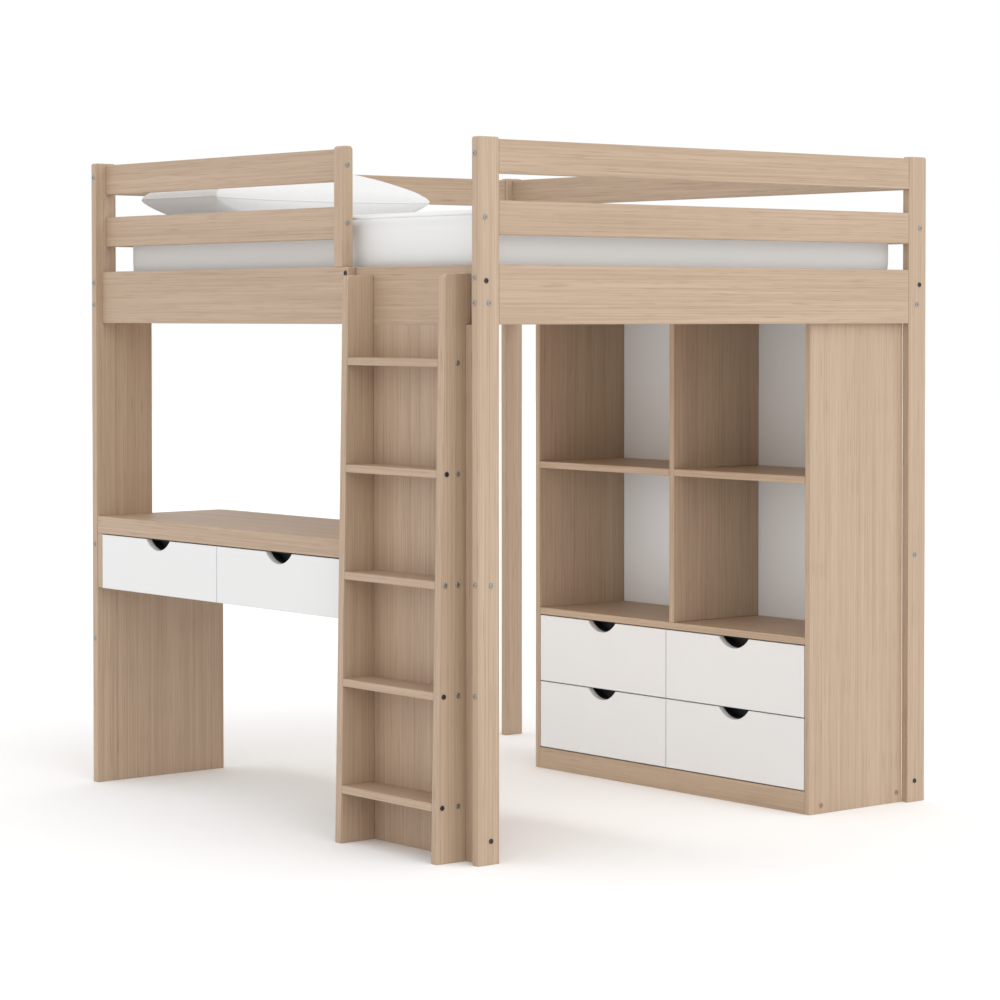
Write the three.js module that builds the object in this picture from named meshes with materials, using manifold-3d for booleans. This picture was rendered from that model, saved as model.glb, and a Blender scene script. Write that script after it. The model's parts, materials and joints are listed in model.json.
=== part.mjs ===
// A loft bed: a sleeping deck on four posts, with guard rails, a ladder with a closed back, a desk with
// two drawers under one end and a bookcase with four drawers under the other.
//
// Millimetres, +Z up. The ladder and the desk face -Y, and the bookcase stands at the +X end.
// Every size below can be changed by itself; positions follow from the sizes.

import * as THREE from "three";
import { mergeVertices } from "three/addons/utils/BufferGeometryUtils.js";
import Module from "manifold-3d";

// ---------------------------------------------------------------- sizes

// Stock and fits
const boardThickness = 20; // carcass boards, shelves, drawer fronts, treads
const stockThickness = 24; // posts, ladder stiles, fascia and desk cheeks
const railThickness = 22; // end rails and back rails
const backPanelThickness = 6; // bookcase back
const edgeEase = 1.5; // small chamfer on every machined edge
const handEdgeRadius = 2; // rounded long edges of the posts and ladder stiles
const handEdgeSteps = 3;
const jointGap = 0.3; // between two pieces that are screwed together
const arcSteps = 10; // straight pieces in a half-moon grip

// Bed frame
const bedLength = 1800; // over the end rails
const bedWidth = 1600; // over the posts, front to back
const clearHeight = 1337; // floor to the underside of the wide rails
const wideRailHeight = 149;
const guardRailHeight = 85;
const lowerGuardGap = 73; // wide rail to lower guard rail
const upperGuardGap = 66; // lower guard rail to upper guard rail
const postReveal = 5; // post above the upper guard rail
const postWidth = 68; // front to back
const postCornerRadius = 7; // rounded top corners
const backRailSetback = 20;

// Front guard
const fasciaSetback = 20; // fascia behind the front of the posts
const sideRailThickness = 20; // long rail behind the fascia and the ladder
const guardSetback = 34; // guard rails behind the front of the posts
const guardThickness = 22;
const entryWidth = 569; // opening above the ladder
const entryPostWidth = 36;
const entryPostRise = 7; // entry post above the upper guard rail
const entryCornerRadius = 11;
const fasciaOverhang = 28; // fascia past the entry post

// Ladder
const ladderWidth = 428; // over the stiles
const ladderOffset = 59; // right stile to the right front post
const stileFootDepth = 65; // stile foot in front of the posts
const stileHeadDepth = 38; // stile head in front of the posts
const stileDrop = 23; // stile top under the top of the wide rails
const stileHeadRadius = 16;
const treadCount = 5;
const firstTreadTop = 150;
const topTreadDrop = 211; // highest tread under the top of the stiles
const fillerSetback = 27; // filler board beside the ladder, behind the front of the posts

// Deck
const ledgerHeight = 40;
const ledgerThickness = 25;
const bearerHeight = 22;
const bearerWidth = 30;
const centreBearerHeight = 55;
const slatThickness = 18;
const slatWidth = 70;
const slatCount = 14;
const slatEndGap = 3; // slatted base to the rails
const slatSeat = 1; // slats let into the bearers
const deckHeight = 97; // top of the slats over the underside of the wide rails
const mattressThickness = 199;
const mattressEndGap = 22;
const mattressSideGap = 5;
const mattressCornerRadius = 45;
const mattressEdge = 15; // chamfer round its two faces
const softGap = 1; // between soft pieces and what they lie on
const pillowLength = 770;
const pillowWidth = 410;
const pillowThickness = 150;
const pillowCornerRadius = 70;
const pillowEdge = 45;
const pillowFromHead = 40; // pillow to the left end rails
const pillowFromFront = 55; // pillow to the front side rail

// Desk
const deskHeight = 777;
const deskTopThickness = 50;
const deskDepth = 447;
const deskReveal = 2; // desk front behind the front of the posts
const deskToLadder = 28; // desk end to the left stile
const deskDrawerHeight = 158; // drawer bay under the top
const deskDividerThickness = 20;
const deskBackThickness = 16;
const deskBackInset = 5; // desk boards short of the back of the top
const upperPanelDepth = 122; // side panel above the desk
const lowerPanelDepth = 371; // side panel below the desk

// Bookcase
const bookWidth = 1167;
const bookDepth = 362;
const bookRise = 25; // bookcase above the underside of the wide rails
const deckBoardTop = 483; // board above the drawers
const shelfTop = 922;
const plinthHeight = 62;
const dividerOffset = 24; // upper divider right of the drawer split
const lapClearance = 0.4; // shelf and divider where they cross

// Drawers
const frontGap = 3; // around and between drawer fronts
const drawerSideThickness = 12;
const drawerBottomThickness = 6;
const drawerBackThickness = 12;
const runnerSpace = 13; // each side of a drawer box
const boxDrop = 45; // drawer box under the top of its front
const boxRise = 12; // drawer box over the bottom of its front
const boxBackSpace = 12; // drawer box to the back of its bay
const gripChord = 122;
const gripDepth = 30;

// ---------------------------------------------------------------- places that follow from the sizes

// Layout frame: x = 0 at the left end, y = 0 at the front of the posts, z = 0 on the floor.
const wideRailTop = clearHeight + wideRailHeight;
const lowerGuardBottom = wideRailTop + lowerGuardGap;
const upperGuardBottom = lowerGuardBottom + guardRailHeight + upperGuardGap;
const upperGuardTop = upperGuardBottom + guardRailHeight;
const postHeight = upperGuardTop + postReveal;
const rightPostFace = bedLength - stockThickness;
const backPostFace = bedWidth - postWidth;
const backRailBack = bedWidth - backRailSetback;
const backRailFront = backRailBack - railThickness;
const sideRailFront = fasciaSetback + stockThickness + jointGap;
const sideRailBack = sideRailFront + sideRailThickness;
const entryPostRight = rightPostFace - entryWidth;
const entryPostLeft = entryPostRight - entryPostWidth;
const ladderRight = rightPostFace - ladderOffset;
const ladderLeft = ladderRight - ladderWidth;
const stileTop = wideRailTop - stileDrop;
const slatTop = clearHeight + deckHeight;
const slatBottom = slatTop - slatThickness;
const ledgerTop = slatBottom - bearerHeight - jointGap;
const mattressBottom = slatTop + softGap;
const mattressTop = mattressBottom + mattressThickness;
const deskLeft = stockThickness + jointGap;
const deskRight = ladderLeft - deskToLadder;
const deskUnderside = deskHeight - deskTopThickness;
const deskBayBottom = deskUnderside - deskDrawerHeight;
const bookRight = bedLength - railThickness - jointGap;
const bookLeft = bookRight - bookWidth;
const bookBack = backPostFace - jointGap; // its right side meets the back post
const bookFront = bookBack - bookDepth;
const bookHeight = clearHeight + bookRise;
const bookPanelBack = bookBack - boardThickness - jointGap; // the rear rail stands behind it
const bookPanelFront = bookPanelBack - backPanelThickness;
const bookSplit = (bookLeft + bookRight) / 2;
const bookDividerCentre = bookSplit + dividerOffset;
const deckBoardBottom = deckBoardTop - boardThickness;

// ---------------------------------------------------------------- materials

const finish = (color, roughness) => new THREE.MeshStandardMaterial({ color, roughness, metalness: 0 });
const oak = finish("#c6a98a", 0.55);
const white = finish("#e6e6e6", 0.4);
const drawerBoard = finish("#d8d6d2", 0.6);
const pine = finish("#d9bd92", 0.65);
const mattressCloth = finish("#ececec", 0.9);
const pillowCloth = finish("#f2f2f2", 0.9);

// ---------------------------------------------------------------- shapes

const wasm = await Module();
wasm.setup();

// Directions of an outline's two axes and of its thickness, for a plate that is thick along x, y or z.
const plateAxes = {
  x: [new THREE.Vector3(0, 1, 0), new THREE.Vector3(0, 0, 1), new THREE.Vector3(1, 0, 0)],
  y: [new THREE.Vector3(1, 0, 0), new THREE.Vector3(0, 0, 1), new THREE.Vector3(0, -1, 0)],
  z: [new THREE.Vector3(1, 0, 0), new THREE.Vector3(0, 1, 0), new THREE.Vector3(0, 0, 1)],
};

// A plate of the outline given, with every edge of its two faces chamfered, or rounded in a few steps.
function plate(name, material, along, outline, [low, high], ease = edgeEase, easeSteps = 1) {
  const geometry = new THREE.ExtrudeGeometry(outline, {
    depth: high - low - 2 * ease,
    curveSegments: arcSteps,
    bevelEnabled: ease > 0,
    bevelSegments: easeSteps,
    bevelSize: ease,
    bevelThickness: ease,
    bevelOffset: -ease,
  });
  geometry.translate(0, 0, ease);
  geometry.applyMatrix4(new THREE.Matrix4().makeBasis(...plateAxes[along]));
  const mesh = new THREE.Mesh(geometry, material);
  mesh.name = name;
  if (along === "x") mesh.position.x = low;
  if (along === "y") mesh.position.y = high;
  if (along === "z") mesh.position.z = low;
  return mesh;
}

// An upright that hands and feet meet, thick along x, with rounded edges.
const upright = (name, outline, x) => plate(name, oak, "x", outline, x, handEdgeRadius, handEdgeSteps);

// A closed outline through the points given.
const outlineOf = (points) => new THREE.Shape(points.map(([u, v]) => new THREE.Vector2(u, v)));

// A rectangle whose corners are cut by the chamfer.
function easedRectangle([left, right], [bottom, top], cut = edgeEase) {
  return outlineOf([
    [left + cut, bottom],
    [right - cut, bottom],
    [right, bottom + cut],
    [right, top - cut],
    [right - cut, top],
    [left + cut, top],
    [left, top - cut],
    [left, bottom + cut],
  ]);
}

// A board with all its edges chamfered, between the limits given.
const board = (name, material, x, y, z) => plate(name, material, "z", easedRectangle(x, y), z);

// A sharp-edged block, for joining into a bigger piece. Its corners lie exactly on the limits given, so
// blocks that share a face join cleanly.
function block(...limits) {
  const geometry = new THREE.BoxGeometry(2, 2, 2);
  const corners = geometry.attributes.position;
  for (let i = 0; i < corners.array.length; i++) {
    const [low, high] = limits[i % 3];
    corners.array[i] = corners.array[i] < 0 ? low : high;
  }
  return geometry;
}

function solidOf(geometry) {
  const bare = geometry.clone();
  bare.deleteAttribute("normal");
  bare.deleteAttribute("uv");
  const merged = mergeVertices(bare);
  const vertProperties = merged.attributes.position.array;
  const triVerts = new Uint32Array(merged.index.array);
  return new wasm.Manifold(new wasm.Mesh({ numProp: 3, vertProperties, triVerts }));
}

// One piece made of blocks that run into each other.
function joined(name, material, blocks) {
  const solid = blocks.map(solidOf).reduce((sum, next) => sum.add(next));
  const { vertProperties, triVerts } = solid.getMesh();
  const geometry = new THREE.BufferGeometry();
  geometry.setAttribute("position", new THREE.BufferAttribute(vertProperties, 3));
  geometry.setIndex(new THREE.BufferAttribute(triVerts, 1));
  geometry.computeVertexNormals();
  const mesh = new THREE.Mesh(geometry, material);
  mesh.name = name;
  return mesh;
}

// An upright outline with rounded top corners, for the posts.
function roundedTop([left, right], [bottom, top], radius) {
  const shape = new THREE.Shape();
  shape.moveTo(left, bottom);
  shape.lineTo(right, bottom);
  shape.lineTo(right, top - radius);
  shape.absarc(right - radius, top - radius, radius, 0, Math.PI / 2, false);
  shape.lineTo(left + radius, top);
  shape.absarc(left + radius, top - radius, radius, Math.PI / 2, Math.PI, false);
  return shape;
}

// ---------------------------------------------------------------- bed frame

function makePosts() {
  const columns = [
    ["left", [0, stockThickness]],
    ["right", [rightPostFace, bedLength]],
  ];
  const rows = [
    ["front", [0, postWidth]],
    ["back", [backPostFace, bedWidth]],
  ];
  return rows.flatMap(([row, y]) =>
    columns.map(([column, x]) =>
      upright(`post_${row}_${column}`, roundedTop(y, [0, postHeight], postCornerRadius), x),
    ),
  );
}

// The three rail heights that each closed side of the bed has.
const railLevels = [
  ["wide_rail", clearHeight, wideRailTop],
  ["lower_guard_rail", lowerGuardBottom, lowerGuardBottom + guardRailHeight],
  ["upper_guard_rail", upperGuardBottom, upperGuardTop],
];

function makeRails() {
  const betweenPostsX = [stockThickness + jointGap, rightPostFace - jointGap];
  const betweenPostsY = [postWidth + jointGap, backPostFace - jointGap];
  const sides = [
    ["left_end", [0, railThickness], betweenPostsY],
    ["right_end", [bedLength - railThickness, bedLength], betweenPostsY],
    ["back", betweenPostsX, [backRailFront, backRailBack]],
  ];
  return sides.flatMap(([side, x, y]) =>
    railLevels.map(([level, bottom, top]) => board(`${side}_${level}`, oak, x, y, [bottom, top])),
  );
}

function makeFrontGuard() {
  const left = stockThickness + jointGap;
  const guardY = [guardSetback, guardSetback + guardThickness];
  const guardX = [left, entryPostLeft - jointGap];
  const guardLevels = railLevels.slice(1);
  const guards = guardLevels.map(([level, bottom, top]) =>
    board(`front_${level}`, oak, guardX, guardY, [bottom, top]),
  );
  const entryOutline = roundedTop(
    [fasciaSetback, guardY[1]],
    [wideRailTop + jointGap, upperGuardTop + entryPostRise],
    entryCornerRadius,
  );
  return [
    board(
      "front_fascia_rail",
      oak,
      [left, entryPostRight + fasciaOverhang],
      [fasciaSetback, fasciaSetback + stockThickness],
      [clearHeight, wideRailTop],
    ),
    board(
      "front_side_rail",
      oak,
      [left, rightPostFace - jointGap],
      [sideRailFront, sideRailBack],
      [clearHeight, wideRailTop],
    ),
    ...guards,
    upright("entry_post", entryOutline, [entryPostLeft, entryPostRight]),
  ];
}

// ---------------------------------------------------------------- ladder

// How far the sloping front of the stiles stands in front of the posts at a height.
const stileFront = (z) => THREE.MathUtils.mapLinear(z, 0, stileTop, -stileFootDepth, -stileHeadDepth);

// The stile seen from the side: upright at the back, sloping at the front, with a rounded head.
function stileOutline() {
  const back = sideRailFront - jointGap;
  const shoulder = stileTop - stileHeadRadius;
  const shape = new THREE.Shape();
  shape.moveTo(stileFront(0), 0);
  shape.lineTo(back, 0);
  shape.lineTo(back, stileTop);
  shape.lineTo(-stileHeadDepth + stileHeadRadius, stileTop);
  shape.quadraticCurveTo(-stileHeadDepth, stileTop, stileFront(shoulder), shoulder);
  return shape;
}

function makeLadder() {
  const panelLeft = deskRight + jointGap;
  const panelRight = rightPostFace - jointGap;
  const underRails = clearHeight - jointGap;
  const panelFront = sideRailFront - jointGap;
  const stiles = [
    ["ladder_stile_left", [ladderLeft, ladderLeft + stockThickness]],
    ["ladder_stile_right", [ladderRight - stockThickness, ladderRight]],
  ].map(([name, x]) => upright(name, stileOutline(), x));

  const treadPitch = (stileTop - topTreadDrop - firstTreadTop) / (treadCount - 1);
  const treadX = [ladderLeft + stockThickness + jointGap, ladderRight - stockThickness - jointGap];
  const treads = Array.from({ length: treadCount }, (_, i) => {
    const top = firstTreadTop + i * treadPitch;
    const underside = top - boardThickness;
    return board(`ladder_tread_${i + 1}`, oak, treadX, [stileFront(underside), panelFront], [underside, top]);
  });
  return [
    board("ladder_back_panel", oak, [panelLeft, panelRight], [sideRailFront, sideRailBack], [0, underRails]),
    board(
      "ladder_filler",
      oak,
      [ladderRight + jointGap, panelRight],
      [fillerSetback, panelFront],
      [0, underRails],
    ),
    ...stiles,
    ...treads,
  ];
}

// ---------------------------------------------------------------- deck, mattress and pillow

function makeDeck() {
  const ledgerX = [stockThickness + jointGap, rightPostFace - jointGap];
  const ledgerZ = [ledgerTop - ledgerHeight, ledgerTop];
  const frontLedgerY = [sideRailBack + jointGap, sideRailBack + jointGap + ledgerThickness];
  const backLedgerY = [backRailFront - jointGap - ledgerThickness, backRailFront - jointGap];

  const baseX = [stockThickness + slatEndGap, rightPostFace - slatEndGap];
  const baseY = [sideRailBack + slatEndGap, backRailFront - slatEndGap];
  const middle = (baseY[0] + baseY[1]) / 2;
  const bearers = [
    [baseY[0], bearerHeight],
    [middle - bearerWidth / 2, centreBearerHeight],
    [baseY[1] - bearerWidth, bearerHeight],
  ].map(([front, height]) => block(baseX, [front, front + bearerWidth], [slatBottom - height, slatBottom]));
  const slatPitch = (baseX[1] - baseX[0] - slatWidth) / (slatCount - 1);
  const slats = Array.from({ length: slatCount }, (_, i) => {
    const left = baseX[0] + i * slatPitch;
    return block([left, left + slatWidth], baseY, [slatBottom - slatSeat, slatTop]);
  });
  return [
    board("front_ledger", pine, ledgerX, frontLedgerY, ledgerZ),
    board("back_ledger", pine, ledgerX, backLedgerY, ledgerZ),
    joined("slatted_base", pine, [...bearers, ...slats]),
  ];
}

// A cushion-like block: a plate with rounded corners and deeply chamfered faces.
function cushion(name, material, [x0, x1], [y0, y1], z, radius, ease) {
  const shape = new THREE.Shape();
  shape.moveTo(x0 + radius, y0);
  shape.lineTo(x1 - radius, y0);
  shape.absarc(x1 - radius, y0 + radius, radius, -Math.PI / 2, 0, false);
  shape.lineTo(x1, y1 - radius);
  shape.absarc(x1 - radius, y1 - radius, radius, 0, Math.PI / 2, false);
  shape.lineTo(x0 + radius, y1);
  shape.absarc(x0 + radius, y1 - radius, radius, Math.PI / 2, Math.PI, false);
  shape.lineTo(x0, y0 + radius);
  shape.absarc(x0 + radius, y0 + radius, radius, Math.PI, 1.5 * Math.PI, false);
  return plate(name, material, "z", shape, z, ease);
}

function makeBedding() {
  const mattressX = [railThickness + mattressEndGap, bedLength - railThickness - mattressEndGap];
  const mattressY = [sideRailBack + mattressSideGap, backRailFront - mattressSideGap];
  const mattressZ = [mattressBottom, mattressTop];
  const pillowX = [railThickness + pillowFromHead, railThickness + pillowFromHead + pillowWidth];
  const pillowY = [sideRailBack + pillowFromFront, sideRailBack + pillowFromFront + pillowLength];
  const pillowZ = [mattressTop + softGap, mattressTop + softGap + pillowThickness];
  return [
    cushion("mattress", mattressCloth, mattressX, mattressY, mattressZ, mattressCornerRadius, mattressEdge),
    cushion("pillow", pillowCloth, pillowX, pillowY, pillowZ, pillowCornerRadius, pillowEdge),
  ];
}

// ---------------------------------------------------------------- drawers

// A drawer front with a half-moon grip cut into the middle of its top edge.
function gripOutline([left, right], [bottom, top]) {
  const centre = (left + right) / 2;
  const radius = (gripChord ** 2 / 4 + gripDepth ** 2) / (2 * gripDepth);
  const arcCentre = top - gripDepth + radius;
  const half = Math.asin(gripChord / 2 / radius);
  const shape = new THREE.Shape();
  shape.moveTo(left, bottom);
  shape.lineTo(right, bottom);
  shape.lineTo(right, top);
  shape.lineTo(centre + gripChord / 2, top);
  shape.absarc(centre, arcCentre, radius, half - Math.PI / 2, -half - Math.PI / 2, true);
  shape.lineTo(left, top);
  return shape;
}

// A drawer: its front, and behind it a box of two sides, a back and a bottom. frontX and frontZ bound the
// front, bayX is the free width behind it, frontY is its outer face and bayBack ends the bay.
function makeDrawer(name, frontX, frontZ, bayX, frontY, bayBack) {
  const boxX = [bayX[0] + runnerSpace, bayX[1] - runnerSpace];
  const boxY = [frontY + boardThickness + jointGap, bayBack - boxBackSpace];
  const boxZ = [frontZ[0] + boxRise, frontZ[1] - boxDrop];
  const sideInner = [boxX[0] + drawerSideThickness, boxX[1] - drawerSideThickness];
  const drawer = new THREE.Group();
  drawer.add(
    plate(`${name}_front`, white, "y", gripOutline(frontX, frontZ), [frontY, frontY + boardThickness]),
    joined(`${name}_box`, drawerBoard, [
      block(boxX, boxY, [boxZ[0], boxZ[0] + drawerBottomThickness]),
      block([boxX[0], sideInner[0]], boxY, boxZ),
      block([sideInner[1], boxX[1]], boxY, boxZ),
      block(boxX, [boxY[1] - drawerBackThickness, boxY[1]], boxZ),
    ]),
  );
  return drawer;
}

// ---------------------------------------------------------------- desk

function makeDesk() {
  const front = deskReveal;
  const back = deskReveal + deskDepth;
  const boardBack = back - deskBackInset;
  const bayLeft = deskLeft + stockThickness;
  const bayRight = deskRight - stockThickness;
  const split = (bayLeft + bayRight) / 2;
  const backFront = boardBack - deskBackThickness;
  const under = deskUnderside - jointGap;
  const dividerX = [split - deskDividerThickness / 2, split + deskDividerThickness / 2];
  const dividerFront = front + boardThickness + frontGap;
  const panelFront = postWidth + jointGap;

  const panelOutline = outlineOf([
    [panelFront, 0],
    [panelFront + lowerPanelDepth, 0],
    [panelFront + lowerPanelDepth, deskHeight],
    [panelFront + upperPanelDepth, deskHeight],
    [panelFront + upperPanelDepth, clearHeight - jointGap],
    [panelFront, clearHeight - jointGap],
  ]);
  const drawerZ = [deskBayBottom, deskUnderside - frontGap];
  return [
    plate("desk_side_panel", oak, "x", panelOutline, [stockThickness - boardThickness, stockThickness]),
    board("desk_top", oak, [deskLeft, deskRight], [front, back], [deskUnderside, deskHeight]),
    board("desk_left_cheek", oak, [deskLeft, bayLeft], [front, boardBack], [deskBayBottom, under]),
    board("desk_right_support", oak, [bayRight, deskRight], [front, boardBack], [0, under]),
    board("desk_divider", oak, dividerX, [dividerFront, backFront - jointGap], [deskBayBottom, under]),
    board(
      "desk_back",
      oak,
      [bayLeft + jointGap, bayRight - jointGap],
      [backFront, boardBack],
      [deskBayBottom, under],
    ),
    makeDrawer(
      "desk_drawer_left",
      [bayLeft + frontGap / 2, split - frontGap / 2],
      drawerZ,
      [bayLeft, dividerX[0]],
      front,
      backFront,
    ),
    makeDrawer(
      "desk_drawer_right",
      [split + frontGap / 2, bayRight - frontGap / 2],
      drawerZ,
      [dividerX[1], bayRight],
      front,
      backFront,
    ),
  ];
}

// ---------------------------------------------------------------- bookcase

// A shelf seen from above, slotted from the front to its middle where the divider crosses it.
function slottedOutline([left, right], [near, far], slotCentre) {
  const half = boardThickness / 2 + lapClearance;
  const slotEnd = (near + far) / 2 + lapClearance;
  return outlineOf([
    [left, near],
    [slotCentre - half, near],
    [slotCentre - half, slotEnd],
    [slotCentre + half, slotEnd],
    [slotCentre + half, near],
    [right, near],
    [right, far],
    [left, far],
  ]);
}

// The upper divider seen from the side, slotted from the back to its middle where the shelf crosses it.
function dividerOutline([near, far], [bottom, top]) {
  const middle = (near + far) / 2;
  return outlineOf([
    [near, bottom],
    [far, bottom],
    [far, shelfTop - boardThickness - lapClearance],
    [middle - lapClearance, shelfTop - boardThickness - lapClearance],
    [middle - lapClearance, shelfTop + lapClearance],
    [far, shelfTop + lapClearance],
    [far, top],
    [near, top],
  ]);
}

function makeBookcase() {
  const inner = [bookLeft + boardThickness, bookRight - boardThickness];
  const betweenSides = [inner[0] + jointGap, inner[1] - jointGap];
  const compartmentY = [bookFront, bookPanelFront - jointGap];
  const topUnderside = bookHeight - boardThickness;
  const halfBoard = boardThickness / 2;
  const lowerDividerX = [bookSplit - halfBoard, bookSplit + halfBoard];
  const upperDividerX = [bookDividerCentre - halfBoard, bookDividerCentre + halfBoard];
  const lowerDividerFront = bookFront + boardThickness + frontGap;
  const dividerShape = dividerOutline(compartmentY, [deckBoardTop + jointGap, topUnderside - jointGap]);
  const shelfShape = slottedOutline(betweenSides, compartmentY, bookDividerCentre);
  const carcass = [
    board("bookcase_side_left", oak, [bookLeft, inner[0]], [bookFront, bookBack], [0, bookHeight]),
    board("bookcase_side_right", oak, [inner[1], bookRight], [bookFront, bookBack], [0, bookHeight]),
    board("bookcase_top", oak, betweenSides, [bookFront, bookBack], [topUnderside, bookHeight]),
    board("bookcase_drawer_deck", oak, betweenSides, compartmentY, [deckBoardBottom, deckBoardTop]),
    plate("bookcase_shelf", oak, "z", shelfShape, [shelfTop - boardThickness, shelfTop]),
    plate("bookcase_divider", oak, "x", dividerShape, upperDividerX),
    board(
      "bookcase_drawer_divider",
      oak,
      lowerDividerX,
      [lowerDividerFront, bookPanelFront - jointGap],
      [0, deckBoardBottom - jointGap],
    ),
    board(
      "bookcase_back",
      white,
      betweenSides,
      [bookPanelFront, bookPanelBack],
      [0, topUnderside - jointGap],
    ),
    board("bookcase_plinth", oak, betweenSides, [bookFront, bookFront + boardThickness], [0, plinthHeight]),
    board("bookcase_rear_rail", oak, betweenSides, [bookBack - boardThickness, bookBack], [0, plinthHeight]),
  ];

  const frontHeight = (deckBoardBottom - plinthHeight - 3 * frontGap) / 2;
  const rows = [
    ["lower", plinthHeight + frontGap],
    ["upper", plinthHeight + 2 * frontGap + frontHeight],
  ];
  const columns = [
    ["left", [inner[0] + frontGap, bookSplit - frontGap / 2], [inner[0], lowerDividerX[0]]],
    ["right", [bookSplit + frontGap / 2, inner[1] - frontGap], [lowerDividerX[1], inner[1]]],
  ];
  const drawers = rows.flatMap(([row, bottom]) =>
    columns.map(([column, frontX, bayX]) =>
      makeDrawer(
        `bookcase_drawer_${row}_${column}`,
        frontX,
        [bottom, bottom + frontHeight],
        bayX,
        bookFront,
        bookPanelFront,
      ),
    ),
  );
  return [...carcass, ...drawers];
}

// ---------------------------------------------------------------- assembly

const loftBed = new THREE.Group();
loftBed.add(
  ...makePosts(),
  ...makeRails(),
  ...makeFrontGuard(),
  ...makeLadder(),
  ...makeDeck(),
  ...makeBedding(),
  ...makeDesk(),
  ...makeBookcase(),
);

// The part's own origin is on the floor, in the middle of its footprint.
loftBed.position.set(-bedLength / 2, -(bedWidth - stileFootDepth) / 2, 0);

export default loftBed;
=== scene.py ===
import json
import math

import bmesh
import bpy
from mathutils import Matrix, Vector

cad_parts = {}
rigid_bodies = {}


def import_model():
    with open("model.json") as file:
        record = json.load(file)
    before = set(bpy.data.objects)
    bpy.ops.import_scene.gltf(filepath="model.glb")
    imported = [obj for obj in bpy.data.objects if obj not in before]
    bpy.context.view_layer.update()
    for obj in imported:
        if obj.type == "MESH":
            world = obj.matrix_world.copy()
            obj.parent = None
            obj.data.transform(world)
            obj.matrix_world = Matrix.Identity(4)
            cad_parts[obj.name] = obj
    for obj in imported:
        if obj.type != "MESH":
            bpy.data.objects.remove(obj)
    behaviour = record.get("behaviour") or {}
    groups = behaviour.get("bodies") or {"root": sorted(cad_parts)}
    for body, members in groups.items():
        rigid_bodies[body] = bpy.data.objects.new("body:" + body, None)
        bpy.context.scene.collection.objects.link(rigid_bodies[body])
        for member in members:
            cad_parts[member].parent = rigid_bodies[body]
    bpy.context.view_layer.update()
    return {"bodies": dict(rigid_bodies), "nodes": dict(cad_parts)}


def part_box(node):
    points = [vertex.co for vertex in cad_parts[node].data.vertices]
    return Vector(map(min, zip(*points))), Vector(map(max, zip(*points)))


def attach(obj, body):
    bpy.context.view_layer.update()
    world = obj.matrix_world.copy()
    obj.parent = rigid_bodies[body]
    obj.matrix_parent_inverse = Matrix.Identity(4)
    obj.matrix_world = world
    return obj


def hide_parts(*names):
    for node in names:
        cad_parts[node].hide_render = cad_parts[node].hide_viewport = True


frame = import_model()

scene = bpy.context.scene
bed_parts = frame["nodes"]

# ---- Camera ------------------------------------------------------------------
# A long lens at about three-quarters of the height stands off the corner where the
# ladder is, so the ladder end and the long desk side both show, with level posts.

camera_place = (6.7353, -5.4208, 1.3615)
camera_dip = 0.02479
camera_turn = 0.87058
camera_lens_mm = 109.38
camera_shift = (-0.06, -0.11)

bpy.ops.object.camera_add(
    location=camera_place, rotation=(math.pi / 2 - camera_dip, 0, camera_turn)
)
camera = bpy.context.object
camera.data.lens = camera_lens_mm
camera.data.sensor_width = 36
camera.data.shift_x, camera.data.shift_y = camera_shift
camera.data.dof.use_dof = False
scene.camera = camera
scene.view_settings.view_transform = "Standard"

# ---- Studio floor and light ----------------------------------------------------
# A wide sheet of matt white studio floor, under an even white room, with one very
# soft lamp off the ladder end, and a broad low panel that fills the shade under the bed.

floor_side = 60
floor_white = "#FBFBFB"
room_strength = 1.0
lamp_strength = 0.95
lamp_softness = math.radians(70)
lamp_aim = Vector((-0.76, 0.12, -0.64))
fill_power = 3.5
fill_size = (1.7, 1.1)
fill_place = (0.1, -0.25, 0.72)


def linear(hex_colour):
    """Turns an sRGB hex colour into the linear RGBA that a shader wants."""
    parts = [int(hex_colour[i : i + 2], 16) / 255 for i in (1, 3, 5)]
    return [c / 12.92 if c <= 0.04045 else ((c + 0.055) / 1.055) ** 2.4 for c in parts] + [1]


def add_node(tree, kind, settings=None, links=None):
    """Adds a shader node, sets its properties or sockets by name, and links its inputs."""
    made = tree.nodes.new(kind)
    for key, value in (settings or {}).items():
        if isinstance(key, str) and hasattr(made, key):
            setattr(made, key, value)
        else:
            made.inputs[key].default_value = value
    for key, source in (links or {}).items():
        tree.links.new(source, made.inputs[key])
    return made


def new_material(name):
    """Makes a material with an empty node tree, and gives back both."""
    material = bpy.data.materials.new(name)
    material.use_nodes = True
    material.node_tree.nodes.clear()
    return material, material.node_tree


# Matt emulsion: no gloss, with a roller's faint mottle.
floor_paint, tree = new_material("matt_floor_paint")
place = add_node(tree, "ShaderNodeTexCoord").outputs["Object"]
mottle = add_node(tree, "ShaderNodeTexNoise", {"Scale": 1.5, "Detail": 2.0}, {"Vector": place})
mottle_lift = add_node(
    tree, "ShaderNodeBump", {"Strength": 0.02, "Distance": 0.001}, {"Height": mottle.outputs["Fac"]}
)
shader = add_node(
    tree,
    "ShaderNodeBsdfPrincipled",
    {"Base Color": linear(floor_white), "Roughness": 0.95, "Specular IOR Level": 0.1},
    {"Normal": mottle_lift.outputs["Normal"]},
)
add_node(tree, "ShaderNodeOutputMaterial", links={"Surface": shader.outputs["BSDF"]})
bpy.ops.object.select_all(action="DESELECT")
bpy.ops.mesh.primitive_plane_add(size=floor_side)
floor = bpy.context.object
floor.name = "studio_floor"
floor.data.materials.append(floor_paint)

scene.world = bpy.data.worlds.new("studio_room")
scene.world.use_nodes = True
room = scene.world.node_tree.nodes["Background"]
room.inputs["Color"].default_value = (1, 1, 1, 1)
room.inputs["Strength"].default_value = room_strength

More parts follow.
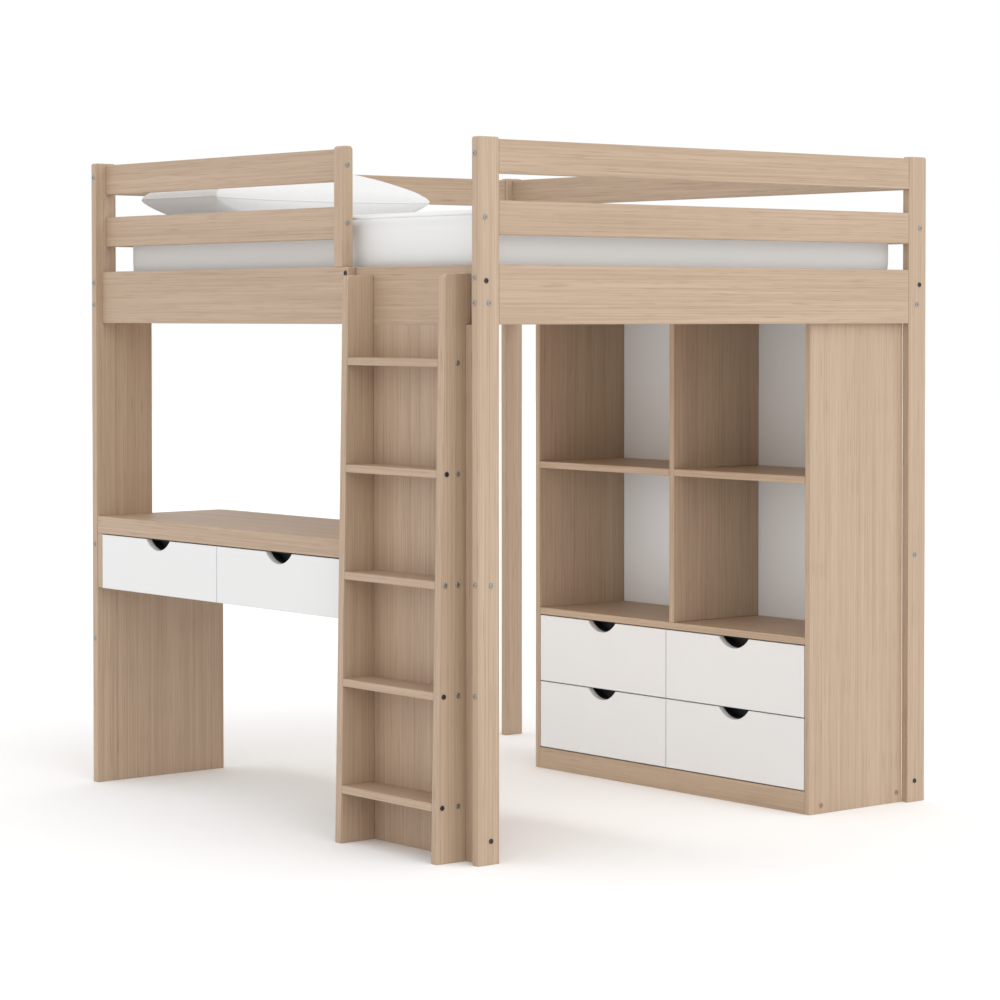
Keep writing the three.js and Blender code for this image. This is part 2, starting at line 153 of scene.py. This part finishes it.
bpy.ops.object.light_add(type="SUN", location=(5, -2, 5))
lamp = bpy.context.object
lamp.rotation_euler = lamp_aim.to_track_quat("-Z", "Y").to_euler()
lamp.data.energy = lamp_strength
lamp.data.angle = lamp_softness

bpy.ops.object.light_add(type="AREA", location=fill_place, rotation=(math.pi / 2, 0, 0))
fill = bpy.context.object
fill.data.shape = "RECTANGLE"
fill.data.size, fill.data.size_y = fill_size
fill.data.energy = fill_power
fill.visible_camera = fill.visible_glossy = False

# ---- Bed frame -------------------------------------------------------------------
# Four posts carry wide rails and pairs of guard rails. All are particle board faced
# with oak-print laminate and edge banded, cut with the grain along each board.

oak_light = "#BFA790"
oak_dark = "#A68E76"
oak_fleck = "#87705A"
streak_mm = (700, 4)
band_mm = (1500, 45)
band_weight = 0.4
fleck_mm = (110, 1.8)
frame_boards = [
    name
    for name in bed_parts
    if name.startswith(("post_", "left_end_", "right_end_", "back_", "front_", "entry_"))
    and not name.endswith("ledger")
]


def grain_scale(along, size_mm):
    """Scale for a Mapping node, so that one unit of noise is size_mm on the board."""
    long_mm, wide_mm = size_mm
    return [1000 / (long_mm if axis == along else wide_mm) for axis in range(3)]


def oak_laminate(along):
    """Oak-print laminate: a satin printed sheet with fine straight streaks, broad soft bands of
    tone and short dark pores, which read as pale greyed oak. Grain runs along axis 0, 1 or 2."""
    material, tree = new_material(f"oak_laminate_grain_{'xyz'[along]}")
    place = add_node(tree, "ShaderNodeTexCoord").outputs["Object"]
    # Each board is cut from another part of the sheet, so its pattern starts elsewhere.
    board = add_node(tree, "ShaderNodeObjectInfo").outputs["Random"]
    cut = add_node(tree, "ShaderNodeMath", {"operation": "MULTIPLY", 1: 60.0}, {0: board})
    tones = {}
    for name, size_mm, detail in (
        ("streak", streak_mm, 3.0),
        ("band", band_mm, 1.5),
        ("fleck", fleck_mm, 0.0),
    ):
        laid = add_node(
            tree,
            "ShaderNodeMapping",
            {"Scale": grain_scale(along, size_mm)},
            {"Vector": place, "Location": cut.outputs["Value"]},
        )
        tones[name] = add_node(
            tree,
            "ShaderNodeTexNoise",
            {"Scale": 1.0, "Detail": detail},
            {"Vector": laid.outputs["Vector"]},
        ).outputs["Fac"]
    both = add_node(
        tree,
        "ShaderNodeMath",
        {"operation": "MULTIPLY_ADD", 1: band_weight},
        {0: tones["band"], 2: tones["streak"]},
    )
    wood = add_node(
        tree,
        "ShaderNodeMapRange",
        {"From Min": 0.42, "From Max": 0.98, "To Min": 0.0, "To Max": 1.0},
        {"Value": both.outputs["Value"]},
    )
    tint = add_node(
        tree,
        "ShaderNodeMix",
        {"data_type": "RGBA", 6: linear(oak_dark), 7: linear(oak_light)},
        {0: wood.outputs["Result"]},
    )
    pores = add_node(
        tree,
        "ShaderNodeMapRange",
        {"From Min": 0.64, "From Max": 0.76, "To Min": 0.0, "To Max": 0.4},
        {"Value": tones["fleck"]},
    )
    printed = add_node(
        tree,
        "ShaderNodeMix",
        {"data_type": "RGBA", 7: linear(oak_fleck)},
        {0: pores.outputs["Result"], 6: tint.outputs[2]},
    )
    grain = add_node(
        tree, "ShaderNodeBump", {"Strength": 0.12, "Distance": 0.0002}, {"Height": tones["streak"]}
    )
    shader = add_node(
        tree,
        "ShaderNodeBsdfPrincipled",
        {"Roughness": 0.5, "IOR": 1.5},
        {"Base Color": printed.outputs[2], "Normal": grain.outputs["Normal"]},
    )
    add_node(tree, "ShaderNodeOutputMaterial", links={"Surface": shader.outputs["BSDF"]})
    return material


oak_by_axis = [oak_laminate(axis) for axis in range(3)]


def face_with_oak(names):
    """Gives boards the oak laminate whose grain runs along their longest side."""
    for name in names:
        low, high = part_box(name)
        sides = list(high - low)
        bed_parts[name].material_slots[0].material = oak_by_axis[sides.index(max(sides))]


face_with_oak(frame_boards)

# ---- Ladder ----------------------------------------------------------------------
# Two raked stiles and five treads of the same laminated board, screwed to a closed
# back panel, with a filler strip between the right stile and the corner post.

face_with_oak([name for name in bed_parts if name.startswith("ladder_")])

# ---- Slats and ledgers --------------------------------------------------------------
# Planed pine slats rest on two pine ledgers, which are screwed along the side rails.

pine_pale = "#E2C493"
pine_late_wood = "#C69C62"
growth_ring_mm = 17.756
wave_period_mm = 1000 * 2 * math.pi / 20  # of a Wave texture at a scale of 1


def planed_pine():
    """Planed pine, unfinished: soft pale wood with warm late-wood lines and almost no gloss."""
    material, tree = new_material("planed_pine")
    place = add_node(tree, "ShaderNodeTexCoord").outputs["Object"]
    wander = add_node(tree, "ShaderNodeTexNoise", {"Scale": 3.0, "Detail": 2.0}, {"Vector": place})
    rings = add_node(
        tree,
        "ShaderNodeTexWave",
        {"Scale": wave_period_mm / growth_ring_mm, "Distortion": 3.0, "bands_direction": "Y"},
        {"Vector": place, "Phase Offset": wander.outputs["Fac"]},
    )
    tint = add_node(
        tree,
        "ShaderNodeMix",
        {"data_type": "RGBA", 6: linear(pine_pale), 7: linear(pine_late_wood)},
        {0: rings.outputs["Fac"]},
    )
    lift = add_node(
        tree,
        "ShaderNodeBump",
        {"Strength": 0.1, "Distance": 0.0002},
        {"Height": rings.outputs["Fac"]},
    )
    shader = add_node(
        tree,
        "ShaderNodeBsdfPrincipled",
        {"Roughness": 0.7},
        {"Base Color": tint.outputs[2], "Normal": lift.outputs["Normal"]},
    )
    add_node(tree, "ShaderNodeOutputMaterial", links={"Surface": shader.outputs["BSDF"]})
    return material


pine = planed_pine()
for name in ("slatted_base", "front_ledger", "back_ledger"):
    bed_parts[name].material_slots[0].material = pine

# ---- Mattress ---------------------------------------------------------------------
# A foam mattress in a boxed cover of white knitted cotton. The cover bellies a little
# between its piped top and bottom seams. It lies loose on the slats.

cotton_white = "#E3E3E2"
mattress_corner = 0.045
mattress_voxel = 0.02
mattress_belly = 0.008
piping_radius = 0.0035
weave_mm = 4
mattress_pressure = 4
swell_frames = 20
seam_drop = 0.02


def cotton(name, colour, crease_mm, crease_depth):
    """Cotton cloth: matt, with a soft sheen at grazing angles, a thread weave drawn coarser than
    life so that it shows, and shallow creases that catch the light."""
    material, tree = new_material(name)
    place = add_node(tree, "ShaderNodeTexCoord").outputs["Object"]
    threads = add_node(tree, "ShaderNodeTexNoise", {"Scale": 1000 / weave_mm}, {"Vector": place})
    creases = add_node(
        tree, "ShaderNodeTexNoise", {"Scale": 1000 / crease_mm, "Detail": 2.0}, {"Vector": place}
    )
    soft = add_node(
        tree,
        "ShaderNodeBump",
        {"Strength": 0.5, "Distance": crease_depth},
        {"Height": creases.outputs["Fac"]},
    )
    woven = add_node(
        tree,
        "ShaderNodeBump",
        {"Strength": 0.25, "Distance": 0.0004},
        {"Height": threads.outputs["Fac"], "Normal": soft.outputs["Normal"]},
    )
    shader = add_node(
        tree,
        "ShaderNodeBsdfPrincipled",
        {"Base Color": linear(colour), "Roughness": 0.9, "Sheen Weight": 0.2},
        {"Normal": woven.outputs["Normal"]},
    )
    add_node(tree, "ShaderNodeOutputMaterial", links={"Surface": shader.outputs["BSDF"]})
    return material


def soft_block(name, low, high, corner, voxel):
    """Starts a padded piece: a rounded block from corner to corner, remeshed into even cells."""
    bpy.ops.object.select_all(action="DESELECT")
    bpy.ops.mesh.primitive_cube_add(size=1, location=(low + high) / 2, scale=high - low)
    piece = bpy.context.object
    piece.name = piece.data.name = name
    bpy.ops.object.transform_apply(location=True, rotation=True, scale=True)
    bpy.ops.object.mode_set(mode="EDIT")
    bpy.ops.mesh.select_all(action="SELECT")
    bpy.ops.mesh.bevel(offset=corner, segments=4, affect="EDGES")
    bpy.ops.object.mode_set(mode="OBJECT")
    cells = piece.modifiers.new("cells", "REMESH")
    cells.mode = "VOXEL"
    cells.voxel_size = voxel
    bpy.ops.object.modifier_apply(modifier=cells.name)
    return piece


def swell(piece, pressure, most):
    """Blows a cover up like a cushion with Cloth, and keeps each point within most metres."""
    start = [v.co.copy() for v in piece.data.vertices]
    cloth = piece.modifiers.new("cloth", "CLOTH")
    cloth.settings.use_pressure = True
    cloth.settings.uniform_pressure_force = pressure
    cloth.settings.effector_weights.gravity = 0
    cloth.point_cache.frame_start, cloth.point_cache.frame_end = 1, swell_frames
    for step in range(1, swell_frames + 1):
        scene.frame_set(step)
    shaped = piece.evaluated_get(bpy.context.evaluated_depsgraph_get())
    end = [v.co.copy() for v in shaped.data.vertices]
    piece.modifiers.remove(cloth)
    scene.frame_set(1)
    for vertex, before, after in zip(piece.data.vertices, start, end):
        move = after - before
        vertex.co = before + move * min(1, most / max(move.length, 1e-9))


def hold_inside(piece, low, high):
    """Presses a piece flat wherever it would pass the space between its neighbours."""
    for vertex in piece.data.vertices:
        vertex.co = [max(a, min(b, c)) for a, b, c in zip(low, high, vertex.co)]


def smooth_cover(piece):
    """Rounds the cells with one level of subdivision and shades them smooth."""
    bpy.ops.object.select_all(action="DESELECT")
    piece.select_set(True)
    bpy.context.view_layer.objects.active = piece
    rounding = piece.modifiers.new("rounding", "SUBSURF")
    rounding.levels = rounding.render_levels = 1
    bpy.ops.object.modifier_apply(modifier=rounding.name)
    bpy.ops.object.shade_smooth()


def piping(name, points, radius):
    """Runs a closed round cord of cover fabric through the points, as a mesh."""
    curve = bpy.data.curves.new(name, "CURVE")
    curve.dimensions = "3D"
    curve.bevel_depth = radius
    curve.bevel_resolution = 2
    line = curve.splines.new("POLY")
    line.points.add(len(points) - 1)
    for at, point in zip(line.points, points):
        at.co = (*point, 1)
    line.use_cyclic_u = True
    piece = bpy.data.objects.new(name, curve)
    scene.collection.objects.link(piece)
    bpy.ops.object.select_all(action="DESELECT")
    piece.select_set(True)
    bpy.context.view_layer.objects.active = piece
    bpy.ops.object.convert(target="MESH")
    bpy.ops.object.shade_smooth()
    return bpy.context.object


mattress_cotton = cotton("knitted_mattress_cotton", cotton_white, 110, 0.004)
mattress_low, mattress_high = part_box("mattress")
slack = Vector((mattress_belly, mattress_belly, mattress_belly))
mattress = soft_block(
    "mattress_cover", mattress_low + slack, mattress_high - slack, mattress_corner, mattress_voxel
)
swell(mattress, mattress_pressure, mattress_belly)
hold_inside(mattress, mattress_low, mattress_high)
smooth_cover(mattress)
mattress.data.materials.append(mattress_cotton)
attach(mattress, "bed")
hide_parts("mattress")

seam_inset = 0.012
corner_steps = 6
for side, height in (
    ("top", mattress_high.z - seam_drop),
    ("bottom", mattress_low.z + seam_drop),
):
    rim = []
    for quarter in range(4):
        for step in range(corner_steps + 1):
            angle = (quarter + step / corner_steps) * math.pi / 2
            reach = Vector((math.cos(angle), math.sin(angle)))
            edge = mattress_corner + seam_inset
            at_right, at_back = reach.x > 0 and quarter in (0, 3), quarter in (0, 1)
            centre_x = mattress_high.x - edge if at_right else mattress_low.x + edge
            centre_y = mattress_high.y - edge if at_back else mattress_low.y + edge
            out = edge - piping_radius
            rim.append((centre_x + reach.x * out, centre_y + reach.y * out, height))
    cord = piping(f"mattress_piping_{side}", rim, piping_radius)
    cord.data.materials.append(mattress_cotton)
    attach(cord, "bed")

# ---- Pillow ------------------------------------------------------------------------
# A fibre-filled pillow in a plain white cotton case, sewn flat and plumped up, so its
# sides pull in between four pointed corners. It lies loose at the head of the mattress.

pillow_white = "#DEDEDE"
pillow_flat_thickness = 0.014
pillow_corner = 0.006
pillow_voxel = 0.006
pillow_pressure = 2
pillow_swell = 0.007
seam_height = 0.062
crown_above = 0.08
crown_below = 0.095
side_pull = 0.07
crown_sharpness = 2.4
crown_fullness = 0.6
seam_radius = 0.002
seam_points = 120

pillow_cotton = cotton("pillowcase_cotton", pillow_white, 60, 0.005)
pillow_low, pillow_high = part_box("pillow")
middle = (pillow_low + pillow_high) / 2
middle.z = pillow_low.z + seam_height
half = (pillow_high - pillow_low) / 2
flat = Vector((half.x, half.y, pillow_flat_thickness / 2))
pillow = soft_block("pillow_case", middle - flat, middle + flat, pillow_corner, pillow_voxel)
for vertex in pillow.data.vertices:
    out = vertex.co - middle
    u = max(-1, min(1, out.x / half.x))
    v = max(-1, min(1, out.y / half.y))
    crown = ((1 - abs(u) ** crown_sharpness) * (1 - abs(v) ** crown_sharpness)) ** crown_fullness
    rise = crown * (crown_above if out.z > 0 else -crown_below)
    vertex.co = middle + Vector(
        (
            out.x * (1 - side_pull * (1 - v * v)),
            out.y * (1 - side_pull * (1 - u * u)),
            out.z + rise,
        )
    )
swell(pillow, pillow_pressure, pillow_swell)
hold_inside(pillow, pillow_low, pillow_high)
smooth_cover(pillow)
pillow.data.materials.append(pillow_cotton)
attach(pillow, "bed")
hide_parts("pillow")

rim = {}
for vertex in pillow.data.vertices:
    out = vertex.co - middle
    turn = math.atan2(out.y / half.y, out.x / half.x)
    slot = int((turn / (2 * math.pi) + 0.5) * seam_points) % seam_points
    reach = math.hypot(out.x / half.x, out.y / half.y)
    if slot not in rim or reach > rim[slot][0]:
        rim[slot] = (reach, vertex.co.copy())
pillow_seam = piping("pillow_seam", [rim[slot][1] for slot in sorted(rim)], seam_radius)
hold_inside(pillow_seam, pillow_low, pillow_high)
pillow_seam.data.materials.append(pillow_cotton)
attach(pillow_seam, "bed")

# ---- Desk --------------------------------------------------------------------------
# A thick laminated top over a drawer bay, on a side panel at the left and a support
# board at the ladder, all of the oak-print board, joined with hidden fittings.

face_with_oak(
    [name for name in bed_parts if name.startswith("desk_") and "drawer" not in name]
)

# ---- Bookcase ---------------------------------------------------------------------
# Sides, shelf, dividers, deck, plinth and top of oak-print board, with a thin back of
# white-faced hardboard let in behind them.

laminate_white = "#E1E1E1"
back_white = "#F2F7FB"
tone_drop = 0.985
press_mm = 3


def white_laminate(name, colour):
    """White melamine laminate: a clean satin sheet with a faint orange-peel press texture."""
    material, tree = new_material(name)
    place = add_node(tree, "ShaderNodeTexCoord").outputs["Object"]
    press = add_node(tree, "ShaderNodeTexNoise", {"Scale": 1000 / press_mm}, {"Vector": place})
    lift = add_node(
        tree,
        "ShaderNodeBump",
        {"Strength": 0.06, "Distance": 0.0001},
        {"Height": press.outputs["Fac"]},
    )
    tone = add_node(tree, "ShaderNodeTexNoise", {"Scale": 4.0, "Detail": 1.0}, {"Vector": place})
    tint = add_node(
        tree,
        "ShaderNodeMix",
        {"data_type": "RGBA", 6: [c * tone_drop for c in linear(colour)], 7: linear(colour)},
        {0: tone.outputs["Fac"]},
    )
    shader = add_node(
        tree,
        "ShaderNodeBsdfPrincipled",
        {"Roughness": 0.4, "IOR": 1.5},
        {"Base Color": tint.outputs[2], "Normal": lift.outputs["Normal"]},
    )
    add_node(tree, "ShaderNodeOutputMaterial", links={"Surface": shader.outputs["BSDF"]})
    return material


white_sheet = white_laminate("white_laminate", laminate_white)
back_sheet = white_laminate("white_faced_hardboard", back_white)
face_with_oak(
    [
        name
        for name in bed_parts
        if name.startswith("bookcase_")
        and name != "bookcase_back"
        and ("drawer" not in name or name.endswith(("deck", "divider")))
    ]
)
bed_parts["bookcase_back"].material_slots[0].material = back_sheet

# ---- Drawers ---------------------------------------------------------------------
# Two desk drawers and four bookcase drawers: a white laminate front with a curved
# notch, screwed to a box of thin board wrapped in pale grey foil.

foil_grey = "#D6D5D2"
foil_fibre = "#CCCBC8"
fibre_mm = (100 / 3, 10 / 3, 10 / 3)


def foil_board():
    """Paper-foil wrapped board: matt pale grey with fine short fibres printed along it."""
    material, tree = new_material("foil_wrapped_board")
    place = add_node(tree, "ShaderNodeTexCoord").outputs["Object"]
    laid = add_node(
        tree,
        "ShaderNodeMapping",
        {"Scale": [1000 / size for size in fibre_mm]},
        {"Vector": place},
    )
    fibres = add_node(
        tree,
        "ShaderNodeTexNoise",
        {"Scale": 1.0, "Detail": 2.0},
        {"Vector": laid.outputs["Vector"]},
    )
    tint = add_node(
        tree,
        "ShaderNodeMix",
        {"data_type": "RGBA", 6: linear(foil_fibre), 7: linear(foil_grey)},
        {0: fibres.outputs["Fac"]},
    )
    shader = add_node(
        tree,
        "ShaderNodeBsdfPrincipled",
        {"Roughness": 0.75},
        {"Base Color": tint.outputs[2]},
    )
    add_node(tree, "ShaderNodeOutputMaterial", links={"Surface": shader.outputs["BSDF"]})
    return material


foil = foil_board()
drawers = sorted(body for body in frame["bodies"] if "_drawer_" in body)
for drawer in drawers:
    bed_parts[f"{drawer}_front"].material_slots[0].material = white_sheet
    bed_parts[f"{drawer}_box"].material_slots[0].material = foil

# ---- Notch shade cups ------------------------------------------------------------
# A near-black cup behind each notch is painted shade: it stands in for the shaded inside of
# the drawer box seen through the notch. It sits on the rear of the front, over the drawer box's
# front wall.

# Painted shade: this near-black stands in for the shade inside each drawer notch.
notch_shade_black = "#17181A"
cup_radius = 0.077
cup_drop = 0.03
cup_depth = 0.024
cup_wall = 0.002
cup_top_gap = 0.001
cup_glue_gap = 0.0003
spark_grain_mm = 1.5


def moulded_plastic(name, colour):
    """Injection-moulded plastic: dark, with a fine spark-eroded grain and a dull sheen."""
    material, tree = new_material(name)
    place = add_node(tree, "ShaderNodeTexCoord").outputs["Object"]
    grain = add_node(
        tree, "ShaderNodeTexNoise", {"Scale": 1000 / spark_grain_mm}, {"Vector": place}
    )
    lift = add_node(
        tree,
        "ShaderNodeBump",
        {"Strength": 0.2, "Distance": 0.0001},
        {"Height": grain.outputs["Fac"]},
    )
    shader = add_node(
        tree,
        "ShaderNodeBsdfPrincipled",
        {"Base Color": linear(colour), "Roughness": 0.55, "IOR": 1.46},
        {"Normal": lift.outputs["Normal"]},
    )
    add_node(tree, "ShaderNodeOutputMaterial", links={"Surface": shader.outputs["BSDF"]})
    return material


def pick_faces(piece, wanted):
    """In edit mode, selects only the faces whose middle and normal the test accepts."""
    bpy.ops.mesh.select_mode(type="FACE")
    bpy.ops.mesh.select_all(action="DESELECT")
    shape = bmesh.from_edit_mesh(piece.data)
    for face in shape.faces:
        face.select_set(wanted(face.calc_center_median(), face.normal))
    bmesh.update_edit_mesh(piece.data)


def copy_piece(master, name, shift, turn=Matrix.Identity(4)):
    """Copies a finished piece with its own mesh, turned about the origin and then moved."""
    piece = bpy.data.objects.new(name, master.data.copy())
    piece.data.name = name
    piece.data.transform(Matrix.Translation(shift) @ turn)
    scene.collection.objects.link(piece)
    return piece


bpy.ops.object.select_all(action="DESELECT")
bpy.ops.mesh.primitive_cylinder_add(
    vertices=96,
    radius=cup_radius,
    depth=cup_depth,
    location=(0, cup_depth / 2, cup_radius - cup_drop),
    rotation=(math.pi / 2, 0, 0),
)
cup_master = bpy.context.object
cup_master.name = "finger_cup_master"
bpy.ops.object.transform_apply(location=True, rotation=True, scale=True)
bpy.ops.object.mode_set(mode="EDIT")
bpy.ops.mesh.select_all(action="SELECT")
bpy.ops.mesh.bisect(
    plane_co=(0, 0, -cup_top_gap), plane_no=(0, 0, 1), clear_outer=True, use_fill=True
)
pick_faces(cup_master, lambda middle, normal: normal.y < -0.9)
bpy.ops.mesh.inset(thickness=cup_wall)
bpy.ops.mesh.extrude_region_move(
    TRANSFORM_OT_translate={"value": (0, cup_depth - cup_wall, 0)}
)
bpy.ops.mesh.select_all(action="SELECT")
bpy.ops.mesh.normals_make_consistent(inside=False)
bpy.ops.object.mode_set(mode="OBJECT")
bpy.ops.object.shade_smooth_by_angle(angle=math.radians(40))
# The cup's near-black plastic is painted shade for the inside of the notch.
cup_master.data.materials.append(moulded_plastic("notch_shade_black_plastic", notch_shade_black))

for drawer in drawers:
    front_low, front_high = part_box(f"{drawer}_front")
    cup = copy_piece(
        cup_master,
        f"{drawer}_finger_cup",
        Vector(((front_low.x + front_high.x) / 2, front_high.y + cup_glue_gap, front_high.z)),
    )
    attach(cup, drawer)
bpy.data.objects.remove(cup_master)

# ---- Drawer runners ---------------------------------------------------------------
# Each drawer slides on a pair of two-part runners of bright zinc-plated steel: a
# channel screwed to the carcass, and a slimmer rail inside it, screwed to the box.

zinc_bright = "#C9CBCC"
runner_height = 0.035
runner_sheet = 0.0012
runner_play = 0.0005
runner_rise = 0.03
runner_front_inset = 0.004
runner_back_inset = 0.006
runner_space = 0.0125  # from the box to the carcass
rail_slimmer = 0.006
runner_roughness = 0.34


def zinc_plate(name, colour, roughness):
    """Bright zinc-plated steel: a cool, softly brushed metal with slightly cloudy reflections."""
    material, tree = new_material(name)
    place = add_node(tree, "ShaderNodeTexCoord").outputs["Object"]
    cloud = add_node(tree, "ShaderNodeTexNoise", {"Scale": 90.0, "Detail": 2.0}, {"Vector": place})
    shine = add_node(
        tree,
        "ShaderNodeMapRange",
        {"To Min": roughness - 0.06, "To Max": roughness + 0.06},
        {"Value": cloud.outputs["Fac"]},
    )
    shader = add_node(
        tree,
        "ShaderNodeBsdfPrincipled",
        {"Base Color": linear(colour), "Metallic": 1.0},
        {"Roughness": shine.outputs["Result"]},
    )
    add_node(tree, "ShaderNodeOutputMaterial", links={"Surface": shader.outputs["BSDF"]})
    return material


def channel(name, low, high, side, depth):
    """Folds a strip into a C-shaped channel: a block with its open side inset and pushed in."""
    bpy.ops.object.select_all(action="DESELECT")
    bpy.ops.mesh.primitive_cube_add(size=1, location=(low + high) / 2, scale=high - low)
    piece = bpy.context.object
    piece.name = piece.data.name = name
    bpy.ops.object.transform_apply(location=True, rotation=True, scale=True)
    bpy.ops.object.mode_set(mode="EDIT")
    pick_faces(piece, lambda middle, normal: normal.x * side > 0.9)
    bpy.ops.mesh.inset(thickness=runner_sheet)
    bpy.ops.mesh.extrude_region_move(
        TRANSFORM_OT_translate={"value": (-side * depth, 0, 0)}
    )
    bpy.ops.object.mode_set(mode="OBJECT")
    return piece


runner_zinc = zinc_plate("bright_zinc_runner", zinc_bright, runner_roughness)
for drawer in drawers:
    box_low, box_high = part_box(f"{drawer}_box")
    runner_front = box_low.y + runner_front_inset
    runner_back = box_high.y - runner_back_inset
    runner_floor = box_low.z + runner_rise
    for side, wall in ((-1, box_low.x), (1, box_high.x)):
        near, far = wall + side * runner_play, wall + side * runner_space
        half_way = wall + side * (runner_space * 0.5)
        for part, a, b, facing, body, slim in (
            ("rail", near, half_way - side * runner_play / 2, side, drawer, rail_slimmer),
            ("channel", half_way + side * runner_play / 2, far, -side, "bed", 0),
        ):
            low = Vector((min(a, b), runner_front, runner_floor + slim))
            high = Vector((max(a, b), runner_back, runner_floor + runner_height - slim))
            runner = channel(
                f"{drawer}_{'left' if side < 0 else 'right'}_{part}",
                low,
                high,
                facing,
                abs(b - a) - runner_sheet,
            )
            runner.data.materials.append(runner_zinc)
            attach(runner, body)

# ---- Bolts -----------------------------------------------------------------------
# Zinc-plated furniture bolts with a domed head and a hexagon socket hold the posts to
# the rails and the ladder stiles to their treads. Some heads have a darker finish, and
# the bookcase's are under tan plastic caps.

bolt_radius = 0.0065
bolt_proud = 0.0025
socket_radius = 0.0028
socket_depth = 0.0018
bolt_dome = 0.55  # of its height is rounded off
cap_tan = "#9A7C60"
bolt_zinc = "#A3A4A5"
bolt_dark_zinc = "#4C4E52"
# Each pair below is a distance in from the edge of the part, and a height.
end_bolts = ((0.0235, 1.602), (0.0355, 1.390), (0.0415, 0.692))
dark_end_bolts = ((0.0265, 1.445), (0.0405, 0.059))
cap_fore, cap_rear = (0.0445, 0.023), (0.0215, 0.029)
fascia_screw_inset, fascia_screw_drop = 0.012, 0.016
stile_rear_inset = 0.0425
tread_fore_inset = 0.0145
tread_count = 5
bright_fore_tread = 3
bright_zinc = zinc_plate("bright_zinc_bolt", bolt_zinc, 0.38)
dark_zinc = zinc_plate("dark_zinc_bolt", bolt_dark_zinc, 0.4)

bpy.ops.object.select_all(action="DESELECT")
bpy.ops.mesh.primitive_cylinder_add(
    vertices=24, radius=bolt_radius, depth=bolt_proud, location=(0, 0, bolt_proud / 2)
)
bolt_master = bpy.context.object
bolt_master.name = "bolt_master"
bpy.ops.object.transform_apply(location=True, rotation=True, scale=True)
bpy.ops.object.mode_set(mode="EDIT")
bpy.ops.mesh.select_mode(type="EDGE")
bpy.ops.mesh.select_all(action="DESELECT")
shape = bmesh.from_edit_mesh(bolt_master.data)
for edge in shape.edges:
    edge.select_set(all(v.co.z > bolt_proud * 0.9 for v in edge.verts))
bmesh.update_edit_mesh(bolt_master.data)
bpy.ops.mesh.bevel(offset=bolt_proud * bolt_dome, segments=3, affect="EDGES")
bpy.ops.object.mode_set(mode="OBJECT")
bpy.ops.mesh.primitive_cylinder_add(
    vertices=6,
    radius=socket_radius,
    depth=2 * socket_depth,
    location=(0, 0, bolt_proud),
)
socket = bpy.context.object
cut = bolt_master.modifiers.new("socket", "BOOLEAN")
cut.operation = "DIFFERENCE"
cut.object = socket
bpy.context.view_layer.objects.active = bolt_master
bpy.ops.object.modifier_apply(modifier=cut.name)
bpy.data.objects.remove(socket)

front_face, right_face, left_face, back_face = (
    Matrix.Rotation(math.pi / 2, 4, "X"),
    Matrix.Rotation(math.pi / 2, 4, "Y"),
    Matrix.Rotation(-math.pi / 2, 4, "Y"),
    Matrix.Rotation(-math.pi / 2, 4, "X"),
)


def bolts(label, node, face, spots, metal):
    """Sets bolt heads on a face of a node, each spot being a place along it and a height."""
    low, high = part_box(node)
    for i, (across, height) in enumerate(spots):
        at, turn = {
            "front": (Vector((across, low.y, height)), front_face),
            "back": (Vector((across, high.y, height)), back_face),
            "right": (Vector((high.x, across, height)), right_face),
            "left": (Vector((low.x, across, height)), left_face),
        }[face]
        head = copy_piece(bolt_master, f"{label}_{i + 1}", at, turn)
        head.data.materials.append(metal)
        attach(head, "bed")


post_middle_x = (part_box("post_front_right")[0].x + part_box("post_front_right")[1].x) / 2
front_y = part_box("post_front_right")[0].y
rear_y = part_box("post_back_right")[1].y
upper_heights = (1.758, 1.453, 1.390)
lower_heights = (0.695, 0.420)
for post, x in (("left", -post_middle_x), ("right", post_middle_x)):
    bolts(
        f"bolt_front_{post}",
        f"post_front_{post}",
        "front",
        [(x, z) for z in upper_heights + lower_heights],
        bright_zinc,
    )
    bolts(
        f"bolt_back_{post}",
        f"post_back_{post}",
        "back",
        [(x, z) for z in upper_heights],
        bright_zinc,
    )
for post in ("left", "right"):
    for end, edge, inward in (("front", front_y, 1), ("back", rear_y, -1)):
        bolts(
            f"bolt_{post}_end_{end}",
            f"post_{end}_{post}",
            post,
            [(edge + inward * inset, height) for inset, height in end_bolts],
            bright_zinc,
        )
        bolts(
            f"bolt_dark_{post}_end_{end}",
            f"post_{end}_{post}",
            post,
            [(edge + inward * inset, height) for inset, height in dark_end_bolts],
            dark_zinc,
        )

entry_low, entry_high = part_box("entry_post")
guard_heights = [
    sum(corner.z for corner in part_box(f"front_{level}_guard_rail")) / 2
    for level in ("lower", "upper")
]
bolts(
    "bolt_entry_post",
    "entry_post",
    "right",
    [((entry_low.y + entry_high.y) / 2, height) for height in guard_heights],
    bright_zinc,
)
fascia_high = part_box("front_fascia_rail")[1]
bolts(
    "screw_fascia",
    "front_fascia_rail",
    "front",
    [(fascia_high.x - fascia_screw_inset, fascia_high.z - fascia_screw_drop)],
    dark_zinc,
)
stile_back_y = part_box("ladder_stile_right")[1].y
for tread in range(1, tread_count + 1):
    tread_low, tread_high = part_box(f"ladder_tread_{tread}")
    height = (tread_low.z + tread_high.z) / 2
    for stile, face in (("ladder_stile_right", "right"), ("ladder_stile_left", "left")):
        bolts(
            f"bolt_{stile}_rear_{tread}",
            stile,
            face,
            [(stile_back_y - stile_rear_inset, height)],
            bright_zinc,
        )
        if tread < tread_count:
            bolts(
                f"bolt_{stile}_fore_{tread}",
                stile,
                face,
                [(tread_low.y + tread_fore_inset, height)],
                bright_zinc if tread == bright_fore_tread else dark_zinc,
            )
shelf_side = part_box("bookcase_side_right")
bolts(
    "cap_bookcase_side",
    "bookcase_side_right",
    "right",
    [(shelf_side[0].y + cap_fore[0], cap_fore[1]), (shelf_side[1].y - cap_rear[0], cap_rear[1])],
    moulded_plastic("moulded_tan_plastic", cap_tan),
)
bpy.data.objects.remove(bolt_master)
